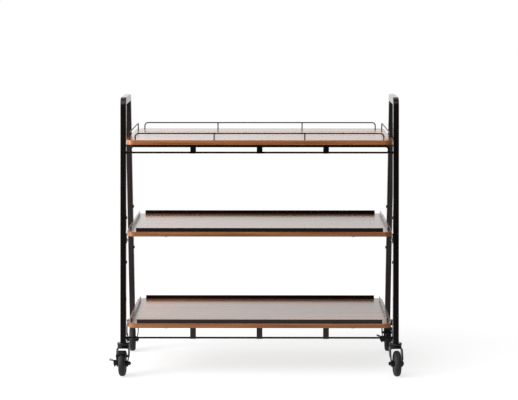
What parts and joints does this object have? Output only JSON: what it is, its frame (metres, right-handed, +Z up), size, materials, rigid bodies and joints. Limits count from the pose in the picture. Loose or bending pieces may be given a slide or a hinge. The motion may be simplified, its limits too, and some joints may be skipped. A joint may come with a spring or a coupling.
{
  "type": "room service table",
  "caption": "Wheeled serving table: wood-veneer shelves hung between bent steel end frames with push handles, wire gallery rails, truss beams and swivel casters, some braked.",
  "frame": {"origin": "on the floor, midway between the swivel axes of the four casters", "axes": "+X along the table, from its left end to its right; -Y towards whoever faces the long side that the picture shows; +Z up"},
  "size_m": [1.0136, 0.528, 0.953],
  "materials": {
    "black_powder_coat": "semi-gloss black powder coat",
    "walnut_veneer": "satin lacquered walnut veneer, grain lengthwise",
    "black_zinc_steel": "black plated pressed steel",
    "zinc_plated_steel": "bright zinc",
    "black_nylon": "moulded",
    "grey_rubber": "matt",
    "pale_grey_plastic": "moulded"
  },
  "bodies": {
    "chassis": {"left_end_frame": "black_powder_coat", "right_end_frame": "black_powder_coat", "leg_inserts": "black_nylon", "front_upper_rod": "black_powder_coat", "front_lower_rod": "black_powder_coat", "front_top_plates": "black_powder_coat", "front_bottom_rod": "black_powder_coat", "front_bottom_plates": "black_powder_coat", "rear_upper_rod": "black_powder_coat", "rear_lower_rod": "black_powder_coat", "rear_top_plates": "black_powder_coat", "rear_bottom_rod": "black_powder_coat", "rear_bottom_plates": "black_powder_coat", "top_shelf": "walnut_veneer", "middle_shelf": "walnut_veneer", "bottom_shelf": "walnut_veneer", "front_rail": "black_powder_coat", "rear_rail": "black_powder_coat", "left_rail": "black_powder_coat", "right_rail": "black_powder_coat", "middle_front_lip": "black_powder_coat", "middle_rear_lip": "black_powder_coat", "middle_left_lip": "black_powder_coat", "middle_right_lip": "black_powder_coat", "bottom_front_lip": "black_powder_coat", "bottom_rear_lip": "black_powder_coat", "bottom_left_lip": "black_powder_coat", "bottom_right_lip": "black_powder_coat", "shelf_brackets": "black_powder_coat", "bracket_bolts": "zinc_plated_steel", "spare_hole_bolts": "black_powder_coat", "shelf_screws": "zinc_plated_steel", "caster_stems": "black_zinc_steel", "swivel_washers": "black_nylon"},
    "front_left_caster": {"front_left_fork": "black_zinc_steel", "front_left_axle": "black_zinc_steel", "front_left_brake_rivets": "black_zinc_steel"},
    "front_left_wheel": {"front_left_hub": "black_nylon", "front_left_tyre": "grey_rubber"},
    "front_left_brake": {"front_left_brake_lever": "black_zinc_steel", "front_left_brake_pad": "pale_grey_plastic"},
    "front_right_caster": {"front_right_fork": "black_zinc_steel", "front_right_axle": "black_zinc_steel"},
    "front_right_wheel": {"front_right_hub": "black_nylon", "front_right_tyre": "grey_rubber"},
    "rear_left_caster": {"rear_left_fork": "black_zinc_steel", "rear_left_axle": "black_zinc_steel"},
    "rear_left_wheel": {"rear_left_hub": "black_nylon", "rear_left_tyre": "grey_rubber"},
    "rear_right_caster": {"rear_right_fork": "black_zinc_steel", "rear_right_axle": "black_zinc_steel", "rear_right_brake_rivets": "black_zinc_steel"},
    "rear_right_wheel": {"rear_right_hub": "black_nylon", "rear_right_tyre": "grey_rubber"},
    "rear_right_brake": {"rear_right_brake_lever": "black_zinc_steel", "rear_right_brake_pad": "pale_grey_plastic"}
  },
  "joints": [
    {"name": "front_left_swivel", "type": "hinge", "parent": "chassis", "child": "front_left_caster", "pos_m": [-0.4718, -0.2055, 0.111], "axis": [0, 0, 1], "continuous": true},
    {"name": "front_left_roll", "type": "hinge", "parent": "front_left_caster", "child": "front_left_wheel", "pos_m": [-0.47272, -0.24049, 0.0445], "axis": [0.9997, -0.0262, 0], "continuous": true},
    {"name": "front_left_brake_pedal", "type": "hinge", "parent": "front_left_caster", "child": "front_left_brake", "pos_m": [-0.47261, -0.23649, 0.069], "axis": [0.9997, -0.0262, 0], "range_deg": [0, 10]},
    {"name": "front_right_swivel", "type": "hinge", "parent": "chassis", "child": "front_right_caster", "pos_m": [0.4718, -0.2055, 0.111], "axis": [0, 0, 1], "continuous": true},
    {"name": "front_right_roll", "type": "hinge", "parent": "front_right_caster", "child": "front_right_wheel", "pos_m": [0.47388, -0.24044, 0.0445], "axis": [0.9982, 0.0593, 0], "continuous": true},
    {"name": "rear_left_swivel", "type": "hinge", "parent": "chassis", "child": "rear_left_caster", "pos_m": [-0.4718, 0.2055, 0.111], "axis": [0, 0, 1], "continuous": true},
    {"name": "rear_left_roll", "type": "hinge", "parent": "rear_left_caster", "child": "rear_left_wheel", "pos_m": [-0.46997, 0.17055, 0.0445], "axis": [0.9986, 0.0523, 0], "continuous": true},
    {"name": "rear_right_swivel", "type": "hinge", "parent": "chassis", "child": "rear_right_caster", "pos_m": [0.4718, 0.2055, 0.111], "axis": [0, 0, 1], "continuous": true},
    {"name": "rear_right_roll", "type": "hinge", "parent": "rear_right_caster", "child": "rear_right_wheel", "pos_m": [0.47107, 0.17051, 0.0445], "axis": [0.9998, -0.0209, 0], "continuous": true},
    {"name": "rear_right_brake_pedal", "type": "hinge", "parent": "rear_right_caster", "child": "rear_right_brake", "pos_m": [0.47115, 0.17451, 0.069], "axis": [0.9998, -0.0209, 0], "range_deg": [0, 10]}
  ]
}
